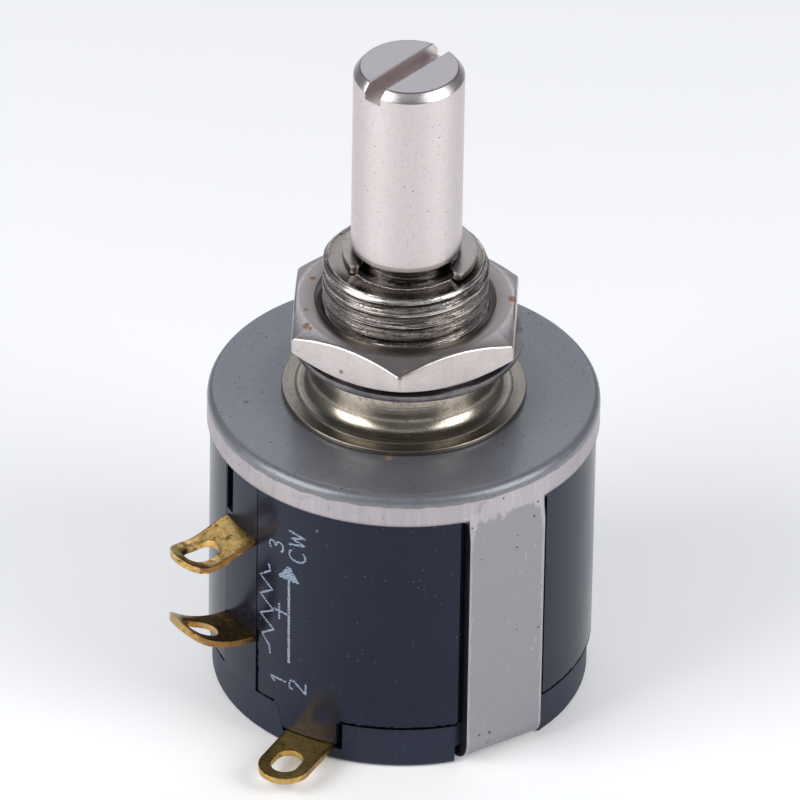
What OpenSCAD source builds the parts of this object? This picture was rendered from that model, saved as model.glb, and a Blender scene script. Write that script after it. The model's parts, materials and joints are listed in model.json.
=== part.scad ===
// Ten-turn wirewound rotary potentiometer with a threaded bushing, 22 mm body
// Origin at the centre of the rear face, +Z along the shaft, front of the body towards -Y

/* [Body] */
// Diameter of the moulded housing
body_d = 22.22; // [21.6:0.02:23.4]
// Height of the body from the rear face to the top of the front lid
body_h = 19.05; // [18.4:0.05:20.5]
// Wall of the housing tube
housing_wall = 1.5; // [1.35:0.05:1.7]

/* [Front lid] */
// How far the lid's rim stands proud of the housing
rim_step = 0.19; // [0.1:0.01:0.35]
// Height of the lid's rim, edge rounding included
rim_h = 1.92; // [1.6:0.02:2.3]
// Radius of the rounding on the lid's outer edge
rim_round = 0.55; // [0.2:0.05:0.8]
// Thickness of the lid's top plate
lid_t = 0.9; // [0.8:0.05:1]
// Thickness of the metal in the rim and the straps
strap_t = 0.6; // [0.5:0.02:0.65]
// Width of each strap
strap_w = 5.1; // [4:0.1:6]
// Direction of the first strap, in degrees from the front towards the right
strap_az = 33; // [28:1:40]
// Number of straps, evenly spaced round the lid
strap_count = 2; // [1:1:2]
// Side clearance of each strap in its recess
strap_gap = 0.36; // [0.1:0.02:0.5]
// Outer radius of the fold at the foot of each strap
fold_r = 1.3; // [1:0.05:1.5]
// Length of the strap end that is folded under the rear cover
tab_len = 3.2; // [2.5:0.1:4]
// Radius of the fillets where a strap runs into the rim
strap_fillet = 0.45; // [0.2:0.05:0.7]

/* [Rear cover] */
// Height of the rear cover's skirt
rear_h = 2.75; // [2.4:0.05:3.1]
// How far the rear cover stands back from the housing's surface
rear_step = 0.23; // [0.1:0.01:0.3]
// Radius of the rounding on the rear cover's outer edge
rear_round = 0.3; // [0.1:0.05:0.4]
// Floor thickness of the rear cover
floor_t = 1.2; // [1.15:0.05:1.25]
// Wall of the rear cover's skirt
rear_wall = 0.65; // [0.5:0.05:0.7]
// Diameter of the boss that carries the shaft's rear pivot
boss_d = 5.2; // [4.6:0.1:6]
// Height of the pivot boss above the floor
boss_h = 1.2; // [1:0.05:1.3]

/* [Bushing] */
// Metal of the bushing between its bore and the thread's crests
bush_wall = 1.5475; // [1.2:0.0025:1.8]
// Length of the threaded stretch
thread_len = 5.6; // [5:0.1:7]
// Pitch of the bushing thread
thread_pitch = 0.79375; // [0.7:0.005:0.9]
// Chamfer at the top of the thread
thread_chamfer = 0.32; // [0.1:0.02:0.4]
// How far the plain neck stands out beyond the thread
neck_step = 0.44; // [0.3:0.01:0.8]
// Height of the neck's shoulder above the lid
neck_h = 3.45; // [3:0.05:4]
// Fillet between the neck and the collar
neck_fillet = 0.5; // [0.3:0.05:0.6]
// Width of the collar beyond the neck
collar_w = 1.83; // [1.4:0.01:2.4]
// Thickness of the collar at its edge
collar_t = 0.34; // [0.25:0.01:0.5]
// Rise of the collar's face from its edge to the neck fillet
collar_rise = 0.08; // [0.04:0.01:0.15]
// Width of the flat mounting ring at the collar's edge
collar_flat = 0.75; // [0.5:0.05:0.9]
// How far the bushing narrows where it passes through the lid
spigot_step = 0.2; // [0.1:0.05:0.4]
// Width of the staked lip under the lid
lip_w = 0.7; // [0.5:0.05:0.9]
// Thickness of the staked lip
lip_t = 0.5; // [0.4:0.02:0.55]

/* [Shaft] */
// Diameter of the shaft
shaft_d = 6.35; // [5.9:0.05:6.4]
// Reach of the shaft above the lid
shaft_reach = 21.95; // [18:0.05:30]
// Chamfer on the shaft's end
shaft_chamfer = 0.5; // [0.1:0.02:0.6]
// Width of the screwdriver slot
slot_w = 1.15; // [0.8:0.05:1.4]
// Depth of the screwdriver slot
slot_depth = 0.95; // [0.7:0.05:2]
// Direction of the screwdriver slot, in degrees from +X
slot_dir = 49; // [0:1:180]
// Depth of the retaining ring's groove
groove_depth = 0.52; // [0.4:0.02:0.7]
// Width of the retaining ring's groove
groove_w = 0.8; // [0.7:0.05:1.4]
// How far the thrust flange inside the body stands out beyond the shaft
flange_step = 1.12; // [0.9:0.02:1.3]
// Thickness of the thrust flange
flange_t = 0.45; // [0.35:0.02:0.48]
// How far the shaft narrows inside the rotor
spindle_step = 0.77; // [0.7:0.01:0.95]
// Depth of the flat that keys the rotor to the shaft
spindle_flat = 0.5; // [0.3:0.05:0.7]
// Diameter of the rear pivot
pivot_d = 3; // [2.4:0.05:3.2]

/* [Retaining ring] */
// Width of the retaining ring's metal, from the groove outwards
ring_w = 1.2; // [0.9:0.02:1.3]
// Thickness of the retaining ring
ring_t = 0.55; // [0.4:0.05:0.7]
// Opening of the retaining ring, in degrees
ring_gap_deg = 116; // [80:1:120]
// Direction of the opening's middle, in degrees from the front
ring_az = -5; // [-20:1:20]
// How far the loose ring sits off centre, to the right
ring_shift = 0.19; // [0:0.01:0.2]
// Radius of the ring's rounded ends
ring_lug_r = 0.36; // [0.3:0.02:0.5]

/* [Nut and washer] */
// Metal of the nut between its thread and its flats
nut_wall = 1.59; // [1.3:0.01:2.4]
// Thickness of the nut
nut_t = 2.38; // [2:0.02:2.6]
// Slope of the chamfers on the nut's corners, in degrees
nut_slope = 32; // [20:1:36]
// Width of the countersink at each end of the nut's hole
nut_sink = 0.4; // [0.2:0.02:0.5]
// Direction of the nut's front corner, in degrees from the front
nut_az = -2; // [-30:1:30]
// Width of the lock washer, teeth included
washer_w = 1.65; // [1.5:0.01:2.2]
// Thickness of the lock washer
washer_t = 0.4; // [0.35:0.01:0.6]
// Play between the thread and the washer's teeth
washer_play = 0.24; // [0.22:0.01:0.3]
// Number of teeth inside the washer
washer_teeth = 12; // [8:1:14]
// Depth of the gaps between the teeth
tooth_depth = 0.75; // [0.5:0.05:0.9]
// How far the loose washer sits off centre, to the right
washer_shift = 0.15; // [0:0.01:0.18]

/* [Terminals] */
// Width of the terminal tabs
tab_w = 3.06; // [2.6:0.02:3.1]
// Thickness of the terminal tabs
tab_t = 0.4; // [0.3:0.02:0.45]
// Reach of the tabs beyond the housing
tab_out = 4.44; // [4:0.02:5.2]
// Width of the solder holes
hole_w = 1.6; // [1.2:0.05:1.8]
// Length of the solder holes
hole_len = 2.15; // [1.85:0.05:2.3]
// Metal left beyond each solder hole
hole_edge = 0.72; // [0.6:0.02:0.9]
// Distance of terminal 1 below the middle of the element
term1_drop = 3.6; // [2.8:0.05:4]
// Bend radius of terminal 1
term1_r = 5.6; // [5.2:0.1:7]
// Distance of terminal 3 above the middle of the element
term3_rise = 3.15; // [2.2:0.05:3.2]
// Downward slope of terminal 3, in degrees
term3_slope = 20; // [10:1:22]
// Length of terminal 3's sloping stretch
term3_run = 2; // [1.6:0.1:2.2]
// Upward turn of terminal 3's end from level, in degrees
term3_curl = 58; // [45:1:62]
// Radius of terminal 3's curled end
term3_r = 2.6; // [2.3:0.1:3]
// Height of terminal 2 on its upper face
term2_z = 1.27; // [1.25:0.01:1.3]
// How far terminal 2 reaches into the rear cover
term2_inset = 5; // [4:0.1:6]
// Direction of terminal 2, in degrees from the front
term2_az = -27.5; // [-30:0.5:-24]
// Direction of the terminal block, in degrees from the front
block_az = -56.5; // [-58:0.5:-55]
// Width of the terminal block
block_w = 3.2; // [3.16:0.02:3.4]
// Seam on each side of the terminal block
block_gap = 0.07; // [0.02:0.01:0.12]
// How far the block's face stands back from the housing's surface
block_step = 0.24; // [0.04:0.01:0.3]
// Width of the groove at the upper left of the block
groove_left_w = 0.7; // [0.4:0.05:0.8]
// Width of the housing's tongue over terminal 2
tongue_w = 3.4; // [3.3:0.05:3.6]
// Gap on each side of the tongue, in the rear cover
tongue_gap = 0.25; // [0.1:0.01:0.3]
// Extra width of the tongue's slanted side at its top
tongue_slant = 0.55; // [0.3:0.05:0.7]

/* [Resistance element] */
// Least free height beyond each end of the element's helix
coil_margin = 1.1; // [1:0.05:1.3]
// Pitch of the element's helix
coil_pitch = 1.02; // [1:0.005:1.04]
// Gap between neighbouring turns of the element
coil_gap = 0.34; // [0.32:0.01:0.4]

/* [Rotor and carriage] */
// Space between the rotor's end flanges and the element
rotor_gap = 0.95; // [0.85:0.05:1.3]
// Thickness of the rotor's end flanges
rotor_flange_t = 0.9; // [0.88:0.01:0.92]
// Wall of the rotor's hub round the spindle
hub_wall = 1; // [0.8:0.05:1.05]
// Width of the carriage
carriage_w = 4; // [3.8:0.05:4.4]
// Height of the carriage
carriage_h = 1.9; // [1.8:0.02:1.95]
// Wall on each side of the carriage's channel
channel_wall = 0.8; // [0.6:0.05:1]
// Diameter of the contact rail
rail_d = 0.8; // [0.6:0.02:0.9]
// Distance of the contact rail from the axis
rail_x = 4.75; // [4.65:0.01:4.85]
// Thickness of the slip ring
slip_t = 0.4; // [0.3:0.02:0.5]
// Width of the slip ring
slip_w = 2.3; // [2:0.05:2.5]
// Thickness of the contact springs
spring_t = 0.12; // [0.08:0.01:0.14]
// Thickness of the thrust washer
thrust_t = 0.25; // [0.2:0.01:0.3]

/* [Fits] */
// Radial running clearance of shaft, pivot and rail
run_fit = 0.04; // [0.02:0.01:0.06]
// Clearance of parts that are pressed or set into one another
set_fit = 0.02; // [0.01:0.005:0.04]
// Visible seam between moulded parts
seam = 0.05; // [0.03:0.01:0.1]
// Clearance between flat faces that move past each other
face_fit = 0.03; // [0.02:0.005:0.05]
// Clearance between a sliding contact and what it runs on
contact_fit = 0.07; // [0.05:0.01:0.1]

/* [Hidden] */
$fn = 96;
body_r = body_d / 2;
rim_r = body_r + rim_step;
rear_r = body_r - rear_step;
bore_r = body_r - housing_wall;
rim_z = body_h - rim_h;
lid_under = body_h - lid_t;
strap_face = body_r + 0.04;
recess_face = strap_face - strap_t - seam;
foot_z = 0.18;
bush_bore_r = shaft_d / 2 + run_fit;
thread_d = 2 * (bush_bore_r + bush_wall);
neck_d = thread_d + 2 * neck_step;
collar_d = neck_d + 2 * collar_w;
spigot_d = neck_d - 2 * spigot_step;
lip_d = spigot_d + 2 * lip_w;
shoulder_z = body_h + neck_h;
bush_top = shoulder_z + thread_len;
lip_z = lid_under - lip_t;
shaft_top = body_h + shaft_reach;
groove_d = shaft_d - 2 * groove_depth;
flange_d = shaft_d + 2 * flange_step;
spindle_d = shaft_d - 2 * spindle_step;
ring_d = groove_d + 2 * ring_w;
groove_top = bush_top + groove_w;
ring_z = bush_top + face_fit;
flange_z = lip_z - thrust_t - 2 * face_fit;
washer_hole_d = thread_d + 2 * washer_play;
washer_d = washer_hole_d + 2 * washer_w;
washer_z = shoulder_z + face_fit / 2;
nut_z = washer_z + washer_t + face_fit / 2;
nut_af = thread_d + 2 * nut_wall;
nut_corner_r = nut_af / sqrt(3);
nut_bore_r = thread_d / 2 + run_fit;
boss_top = floor_t + boss_h;
pivot_z = floor_t - 0.45;
hub_r = spindle_d / 2 + hub_wall;
hub_z = boss_top + 0.2;
slip_z = hub_z + 0.35;
rear_flange_z = slip_z + slip_t;
channel_low = rear_flange_z + rotor_flange_t - 0.3;
channel_high = flange_z - rotor_flange_t;
mid_z = (channel_low + channel_high) / 2;
term1_z = mid_z - term1_drop;
term3_z = mid_z + term3_rise;
tab_reach = body_r + tab_out;
channel_w = carriage_w + 2 * (run_fit + 0.06);
slip_r = rail_x - rail_d / 2 - 0.3;
coil_turns = floor((channel_high - channel_low - 2 * coil_margin) / coil_pitch);
coil_d = coil_pitch - coil_gap;
coil_r = bore_r - seam - coil_d / 2;
coil_segments = 36;
coil_sides = 6;
coil_inner_r = (coil_r - coil_d / 2) * cos(180 / coil_segments);
coil_half = coil_turns * coil_pitch / 2;
rotor_flange_d = 2 * (coil_inner_r - rotor_gap);
channel_reach = rotor_flange_d / 2 - 0.5;
lead_w = 1;
lead_t = 0.2;
lead_x = bore_r + seam;
carriage_in = hub_r + 0.3;
carriage_out = rotor_flange_d / 2 - 0.1;
shoe_reach = coil_inner_r + 0.14;
shoe_t = coil_gap - 0.12;
tip_x = coil_inner_r - contact_fit;
block_top = rim_z - seam;
block_low = rear_h + seam;

// Unit vector along v
function unit(v) = v / norm(v);

// Points of an arc that leaves p with heading h and turns by turn degrees, left if positive
function arc_path(p, h, r, turn, n = 10) =
    [for (i = [1:n]) let (a = turn * i / n)
        p + r * sign(turn) * [sin(h + a) - sin(h), cos(h) - cos(h + a)]];

// Left-hand normal of a path at point i
function left_of(path, i) =
    let (d = unit(path[min(i + 1, len(path) - 1)] - path[max(i - 1, 0)])) [-d.y, d.x];

// Closed outline of a strip of thickness t, with path along its left face
function strip_outline(path, t) =
    concat(path, [for (i = [len(path) - 1:-1:0]) path[i] - t * left_of(path, i)]);

// Turns a part so that its local +X points at an azimuth from the front
module at_azimuth(az) {
    rotate([0, 0, az - 90]) children();
}

// Solid ring between two radii and two heights
module ring(r_in, r_out, z0, z1) {
    difference() {
        translate([0, 0, z0]) cylinder(r = r_out, h = z1 - z0);
        translate([0, 0, z0 - 1]) cylinder(r = r_in, h = z1 - z0 + 2);
    }
}

// Block from x0 outwards, centred on the local X axis
module radial_block(x0, x1, w, z0, z1) {
    translate([x0, -w / 2, z0]) cube([x1 - x0, w, z1 - z0]);
}

// Strip of width w whose side view is an outline in X and Z
module side_strip(outline, w) {
    translate([0, w / 2, 0]) rotate([90, 0, 0]) linear_extrude(w) polygon(outline);
}

// Places a child at each strap
module at_straps() {
    for (i = [0:strap_count - 1]) at_azimuth(strap_az + 180 * i) children();
}

// Outline of the lid cap as a half section
function lid_section() = concat(
    [[spigot_d / 2 + set_fit, lid_under], [rim_r - strap_t, lid_under],
     [rim_r - strap_t, rim_z], [rim_r, rim_z]],
    [[rim_r, body_h - rim_round]],
    arc_path([rim_r, body_h - rim_round], 90, rim_round, 90, 8),
    [[spigot_d / 2 + set_fit, body_h]]);

// Side view of a strap, from the rim down, round the fold and under the body
function strap_path() = let (down = [[strap_face, rim_z + 0.4], [strap_face, foot_z + fold_r]])
    concat(down, arc_path(down[1], -90, fold_r, -90, 8),
        [[strap_face - fold_r - tab_len, foot_z]]);

// Fillet between a strap's side and the rim's lower edge
module strap_corner() {
    rotate([90, 0, 90]) linear_extrude(strap_t)
        difference() {
            square([strap_fillet, strap_fillet + 0.3]);
            translate([strap_fillet, 0]) circle(r = strap_fillet);
        }
}

// Pressed metal lid with its straps, folded under the rear cover
module front_lid() {
    color("lightslategray") {
        union() {
            rotate_extrude() polygon(lid_section());
            at_straps() {
                side_strip(strap_outline(), strap_w);
                for (side = [0, 1]) mirror([0, side, 0])
                    translate([strap_face - strap_t, strap_w / 2, rim_z - strap_fillet]) strap_corner();
            }
        }
    }
}

// Closed side view of a strap: its outer face, then its inner face
function strap_outline() = let (fold_x = strap_face - fold_r, top = foot_z + strap_t)
    concat(strap_path(), [[fold_x - tab_len, top], [fold_x, top]],
        arc_path([fold_x, top], 0, fold_r - strap_t, 90, 8), [[strap_face - strap_t, rim_z + 0.4]]);

// Recess for a strap in the moulded parts, open outwards
module strap_recess(z0, z1) {
    radial_block(recess_face, body_r + 2, strap_w + 2 * strap_gap, z0, z1);
}

// Room for a strap's fold in the rear cover, rounded like the inside of the fold
module fold_recess() {
    fold_x = strap_face - fold_r;
    radial_block(fold_x - tab_len - seam, body_r + 1, strap_w + 2 * seam, -1, foot_z + strap_t + seam);
    rotate([90, 0, 0]) translate([0, 0, -strap_w / 2 - strap_gap]) linear_extrude(strap_w + 2 * strap_gap)
        difference() {
            translate([fold_x, -1]) square([fold_r + 1, foot_z + fold_r + 1]);
            translate([fold_x, foot_z + fold_r]) circle(r = fold_r - strap_t - seam);
        }
}

// Tongue that closes the rear cover over terminal 2, from the axis outwards, grown on every side
module tongue_face(grow) {
    side = tongue_w / 2 + grow;
    rotate([90, 0, 90]) linear_extrude(body_r + 2)
        polygon([[-side, term2_z - tab_t - set_fit], [side, term2_z - tab_t - set_fit], [side, rear_h + 1],
            [-side - tongue_slant, rear_h + 1], [-side - tongue_slant, rear_h], [-side, term2_z]]);
}

// Moulded tube that carries the element, with spigots for the lid and the rear cover
module housing_shell() {
    spigot_top_r = rim_r - strap_t - seam;
    spigot_low_r = rear_r - rear_wall - seam;
    spigot_low_z = floor_t + 0.35;
    color("#20242c")
    difference() {
        union() {
            difference() {
                translate([0, 0, term2_z + seam]) cylinder(r = body_r, h = rim_z - set_fit - term2_z - seam);
                difference() {
                    translate([0, 0, -1]) cylinder(r = body_r + 1, h = rear_h + seam + 1);
                    at_azimuth(term2_az) tongue_face(0);
                }
            }
            translate([0, 0, spigot_low_z]) cylinder(r = spigot_low_r, h = rear_h + 1 - spigot_low_z);
            translate([0, 0, rim_z - 1]) cylinder(r = spigot_top_r, h = lid_under - seam - rim_z + 1);
        }
        translate([0, 0, -1]) cylinder(r = bore_r, h = body_h + 1);
        at_straps() strap_recess(-1, rim_z + 0.6);
        at_azimuth(block_az)
            radial_block(bore_r - 1, body_r + 1, block_w + 2 * block_gap, block_low - set_fit, rim_z - set_fit);
    }
}

// Outline of the rear cover's floor and skirt as a half section
function cover_section() = concat([[0, 0]],
    [[rear_r - rear_round, 0]], arc_path([rear_r - rear_round, 0], 0, rear_round, 90, 5),
    [[rear_r, rear_h], [rear_r - rear_wall, rear_h], [rear_r - rear_wall, floor_t], [0, floor_t]]);

// Moulded cover with the rear pivot bearing and slots for terminal 2 and the strap ends
module rear_cover() {
    slot_in = rear_r - term2_inset;
    color("#262a32")
    difference() {
        union() {
            rotate_extrude() polygon(cover_section());
            cylinder(d = boss_d, h = boss_top);
        }
        translate([0, 0, pivot_z - 0.15]) cylinder(r = pivot_d / 2 + run_fit, h = boss_top);
        at_azimuth(term2_az) {
            radial_block(slot_in, rear_r + 1, tab_w + 2 * seam, term2_z - tab_t - set_fit, floor_t + 1);
            intersection() {
                tongue_face(tongue_gap);
                radial_block(rear_r - rear_wall - 0.6, rear_r + 1, 3 * tongue_w, 0, rear_h + 1);
            }
        }
        at_straps() {
            strap_recess(foot_z + fold_r, rear_h + 1);
            fold_recess();
        }
    }
}

// Bushing: spigot and staked lip in the lid, collar, neck and thread, bored for the shaft
function bushing_section() = let (
        neck_r = neck_d / 2,
        edge_z = body_h + collar_t,
        flat_in = collar_d / 2 - collar_flat,
        root_z = edge_z + collar_rise)
    concat(
        [[bush_bore_r, lip_z], [lip_d / 2, lip_z], [lip_d / 2, lid_under - set_fit],
         [spigot_d / 2, lid_under - set_fit], [spigot_d / 2, body_h + set_fit / 2],
         [collar_d / 2 - 0.06, body_h + set_fit / 2], [collar_d / 2, body_h + 0.08],
         [collar_d / 2, edge_z - 0.06], [collar_d / 2 - 0.06, edge_z],
         [flat_in, edge_z], [neck_r + neck_fillet, root_z]],
        arc_path([neck_r + neck_fillet, root_z], 180, neck_fillet, -90, 8),
        [[neck_r, shoulder_z - 0.1], [neck_r - 0.1, shoulder_z], [thread_d / 2, shoulder_z],
         [thread_d / 2, bush_top - thread_chamfer], [thread_d / 2 - thread_chamfer, bush_top],
         [bush_bore_r + 0.08, bush_top], [bush_bore_r, bush_top - 0.08]]);

module bushing() {
    color("#b9b0a2") rotate_extrude() polygon(bushing_section());
}

// Insert that holds terminals 1 and 3 in the housing's side slot
module terminal_block() {
    color("#1c2027")
    at_azimuth(block_az)
    difference() {
        intersection() {
            ring(bore_r + set_fit, body_r - block_step, block_low, block_top);
            radial_block(0, body_r + 1, block_w, block_low, block_top);
        }
        for (z = [term1_z, term3_z])
            radial_block(bore_r - 1, body_r + 1, tab_w + 2 * set_fit, z - tab_t - set_fit, z + set_fit);
        for (end = [-1, 1])
            radial_block(bore_r - 1, lead_x + lead_t + set_fit, lead_w + 2 * set_fit,
                min(lead_end(end), lead_inner(end)) - set_fit, max(lead_end(end), lead_inner(end)) + set_fit);
        translate([body_r - block_step - 0.5, -block_w / 2 + 0.12, term3_z + 0.5])
            cube([2, groove_left_w, block_top]);
    }
}

// Height of an end of the element: -1 at the rear, 1 at the front
function lead_end(end) = mid_z + end * (coil_half + 0.3);

// Height where the lead of that end reaches its terminal
function lead_inner(end) = end < 0 ? term1_z - tab_t : term3_z;

// Plan of a tab: straight sides, rounded end and an oval solder hole
module tab_plan(x0, w, reach, with_hole = true) {
    hole_x = reach - hole_edge - hole_len / 2;
    difference() {
        union() {
            translate([x0, -w / 2]) square([reach - w / 2 - x0, w]);
            translate([reach - w / 2, 0]) circle(d = w);
        }
        if (with_hole) {
            for (s = [-1, 1]) translate([hole_x + s * (hole_len - hole_w) / 2, 0]) circle(d = hole_w);
            translate([hole_x - (hole_len - hole_w) / 2, -hole_w / 2]) square([hole_len - hole_w, hole_w]);
        }
    }
}

// Tab bent to a side view, then trimmed to its plan
module bent_tab(path, x0) {
    intersection() {
        side_strip(strip_outline(path, tab_t), tab_w);
        translate([0, 0, -20]) linear_extrude(60) tab_plan(x0, tab_w, tab_reach);
    }
}

// End terminals: 1 curves upwards, 3 slopes down and curls up at its end
module terminal_1() {
    x0 = lead_x + lead_t + set_fit;
    root = [body_r, term1_z];
    turn = asin(min(0.95, (tab_reach + 0.3 - body_r) / term1_r));
    color("#b08a3c") at_azimuth(block_az)
        bent_tab(concat([[x0, term1_z], root], arc_path(root, 0, term1_r, turn, 12)), x0);
}

module terminal_3() {
    x0 = lead_x + lead_t + set_fit;
    root = [body_r, term3_z];
    bend = root + term3_run * [cos(term3_slope), -sin(term3_slope)];
    color("#b8923e") at_azimuth(block_az)
        bent_tab(concat([[x0, term3_z], root, bend],
            arc_path(bend, -term3_slope, term3_r, term3_slope + term3_curl, 12)), x0);
}

// Wiper terminal, let into the floor of the rear cover
module terminal_2() {
    x0 = rear_r - term2_inset + seam;
    color("#b08a3c") at_azimuth(term2_az)
        translate([0, 0, term2_z - tab_t]) linear_extrude(tab_t) tab_plan(x0, tab_w, tab_reach);
}

// Wound element: a round core bent to a left-hand helix
module resistance_element() {
    n = coil_turns * coil_segments;
    points = [for (i = [0:n], k = [0:coil_sides - 1])
        let (a = 360 * i / coil_segments, b = 360 * k / coil_sides,
             r = coil_r - coil_d / 2 * cos(b), z = coil_d / 2 * sin(b))
        [r * cos(a), r * sin(a), mid_z + coil_half - coil_pitch * i / coil_segments + z]];
    sides = [for (i = [0:n - 1], k = [0:coil_sides - 1])
        let (m = (k + 1) % coil_sides)
        [i * coil_sides + k, i * coil_sides + m, (i + 1) * coil_sides + m, (i + 1) * coil_sides + k]];
    first = [for (k = [coil_sides - 1:-1:0]) k];
    last = [for (k = [0:coil_sides - 1]) n * coil_sides + k];
    color("#8a6a4a") at_azimuth(block_az) polyhedron(points, concat(sides, [first, last]));
}

// Strip from an end of the element to its terminal, let into the block
module lead(end) {
    z0 = min(lead_end(end), lead_inner(end));
    z1 = max(lead_end(end), lead_inner(end));
    at_azimuth(block_az) radial_block(lead_x, lead_x + lead_t, lead_w, z0, z1);
}

module front_lead() {
    color("#c9a35a") lead(1);
}

module rear_lead() {
    color("#c9a35a") lead(-1);
}

// Spring finger from terminal 2 to the slip ring
module collector_brush() {
    base_z = term2_z + 0.02;
    top_z = slip_z - contact_fit;
    run = rear_r - term2_inset + 0.6;
    color("#d0a85c") at_azimuth(term2_az)
        side_strip(strip_outline([[slip_r + slip_w / 2 - 0.5, top_z - 0.1], [slip_r + slip_w / 2, top_z],
            [slip_r + slip_w / 2 + 0.3, top_z - 0.05],
            [run, base_z + spring_t], [run + 1.4, base_z + spring_t]], spring_t), 1.6);
}

module thrust_washer() {
    color("#9aa0a6") ring(shaft_d / 2 + 0.08, flange_d / 2, flange_z + face_fit, lip_z - face_fit);
}

// Turned shaft as a half section
function shaft_section() = let (r = shaft_d / 2, g = groove_d / 2, s = spindle_d / 2)
    [[0, pivot_z], [pivot_d / 2 - 0.15, pivot_z], [pivot_d / 2, pivot_z + 0.15], [pivot_d / 2, hub_z],
     [s, hub_z], [s, flange_z - flange_t], [flange_d / 2, flange_z - flange_t],
     [flange_d / 2, flange_z], [r, flange_z], [r, bush_top - 0.03], [g, bush_top - 0.03],
     [g, groove_top], [r - 0.15, groove_top], [r, groove_top + 0.15],
     [r, shaft_top - shaft_chamfer], [r - shaft_chamfer * 0.8, shaft_top], [0, shaft_top]];

module shaft() {
    color("#cfc8bd")
    difference() {
        rotate_extrude() polygon(shaft_section());
        rotate([0, 0, slot_dir]) translate([-shaft_d, -slot_w / 2, shaft_top - slot_depth])
            cube([2 * shaft_d, slot_w, slot_depth + 1]);
        at_azimuth(block_az) translate([-spindle_d, -spindle_d, hub_z])
            cube([spindle_d / 2 + spindle_flat, 2 * spindle_d, flange_z - flange_t - hub_z]);
    }
}

// Open retaining ring that snaps into the shaft's groove from the back
module retaining_ring() {
    r_in = groove_d / 2 + ring_shift + face_fit;
    r_out = ring_d / 2;
    lug_at = r_out - ring_lug_r;
    color("#a8a297")
    translate([ring_shift, 0, ring_z]) rotate([0, 0, ring_az]) linear_extrude(ring_t) {
        difference() {
            circle(r = r_out);
            circle(r = r_in);
            polygon([[0, 0], for (a = [-1, -0.5, 0, 0.5, 1])
                2 * r_out * [sin(a * ring_gap_deg / 2), -cos(a * ring_gap_deg / 2)]]);
        }
        for (s = [-1, 1]) translate(lug_at * [s * sin(ring_gap_deg / 2), -cos(ring_gap_deg / 2)])
            circle(r = ring_lug_r);
    }
}

// Moulded rotor: hub, two flanges and the channel that guides the carriage
module rotor() {
    flange_r = rotor_flange_d / 2;
    color("#5a4636")
    difference() {
        union() {
            translate([0, 0, hub_z]) cylinder(r = hub_r, h = flange_z - hub_z - flange_t);
            translate([0, 0, rear_flange_z]) cylinder(r = flange_r, h = channel_low - rear_flange_z);
            translate([0, 0, channel_high]) cylinder(r = flange_r, h = rotor_flange_t);
            at_azimuth(block_az) {
                for (s = [-1, 1]) translate([0, s * (channel_w + channel_wall) / 2, 0])
                    radial_block(0, channel_reach, channel_wall, channel_low - 0.1, channel_high + 0.1);
                radial_block(-channel_reach, 0, 1.6, channel_low - 0.1, channel_high + 0.1);
            }
        }
        difference() {
            translate([0, 0, hub_z - 1]) cylinder(r = spindle_d / 2 + set_fit, h = flange_z);
            at_azimuth(block_az) translate([-spindle_d, -spindle_d, hub_z - 1])
                cube([spindle_d / 2 + spindle_flat - set_fit, 2 * spindle_d, flange_z]);
        }
        translate([0, 0, flange_z - flange_t - set_fit]) cylinder(r = flange_d / 2 + set_fit, h = 2);
        at_azimuth(block_az) translate([rail_x, 0, rear_flange_z - 1])
            cylinder(r = rail_d / 2 + set_fit, h = channel_high - rear_flange_z + 1.3);
    }
}

module slip_ring() {
    color("#d9b25f") ring(slip_r, slip_r + slip_w, slip_z, rear_flange_z - set_fit);
}

// Rod in the channel that takes the wiper's current to the slip ring
module contact_rail() {
    color("#d9b25f") at_azimuth(block_az) translate([rail_x, 0, rear_flange_z])
        cylinder(d = rail_d, h = channel_high + 0.25 - rear_flange_z);
}

// Slider that rides on the rail, with two shoes between turns of the element
module carriage() {
    z0 = mid_z - carriage_h / 2;
    color("#8c7a5a") at_azimuth(block_az)
    difference() {
        union() {
            radial_block(carriage_in, carriage_out, carriage_w, z0, z0 + carriage_h);
            for (s = [-1, 1], t = [-1, 1]) translate([0, t * 1.1, 0])
                radial_block(carriage_out - 0.5, sqrt(pow(shoe_reach, 2) - pow(1.5, 2)), 0.8,
                    mid_z + s * coil_pitch / 2 - shoe_t / 2, mid_z + s * coil_pitch / 2 + shoe_t / 2);
        }
        translate([rail_x, 0, z0 - 1]) cylinder(r = rail_d / 2 + run_fit, h = carriage_h + 2);
        radial_block(rail_x, carriage_out + 2, 1.3, z0 + carriage_h - 0.4, z0 + carriage_h + 1);
        radial_block(carriage_out - 0.35, carriage_out + 2, 1.3, z0 + 0.1, z0 + carriage_h + 1);
    }
}

// Side view of the spring that joins the rail to the wiper tip
function spring_path() = let (
        top = mid_z + carriage_h / 2 - 0.22,
        face = carriage_out - 0.16,
        turn_z = mid_z - 0.42,
        start = [rail_x + rail_d / 2 + contact_fit, top],
        over = [face - 0.2, top],
        down = [face, turn_z])
    concat([start, over], arc_path(over, 0, 0.2, -90, 5), [down],
        arc_path(down, -90, 0.19, 170, 8),
        [down + [0.38 + 0.06, 0.6]]);

module wiper_spring() {
    color("#d0a85c") at_azimuth(block_az) side_strip(strip_outline(spring_path(), spring_t), 1);
}

// Contact button on the end of the spring
module wiper_tip() {
    path = spring_path();
    x0 = path[len(path) - 1].x + spring_t + set_fit;
    color("#e6c77a") at_azimuth(block_az)
        translate([x0, 0, mid_z]) rotate([0, 90, 0]) cylinder(d = 0.4, h = tip_x - x0);
}

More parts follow.
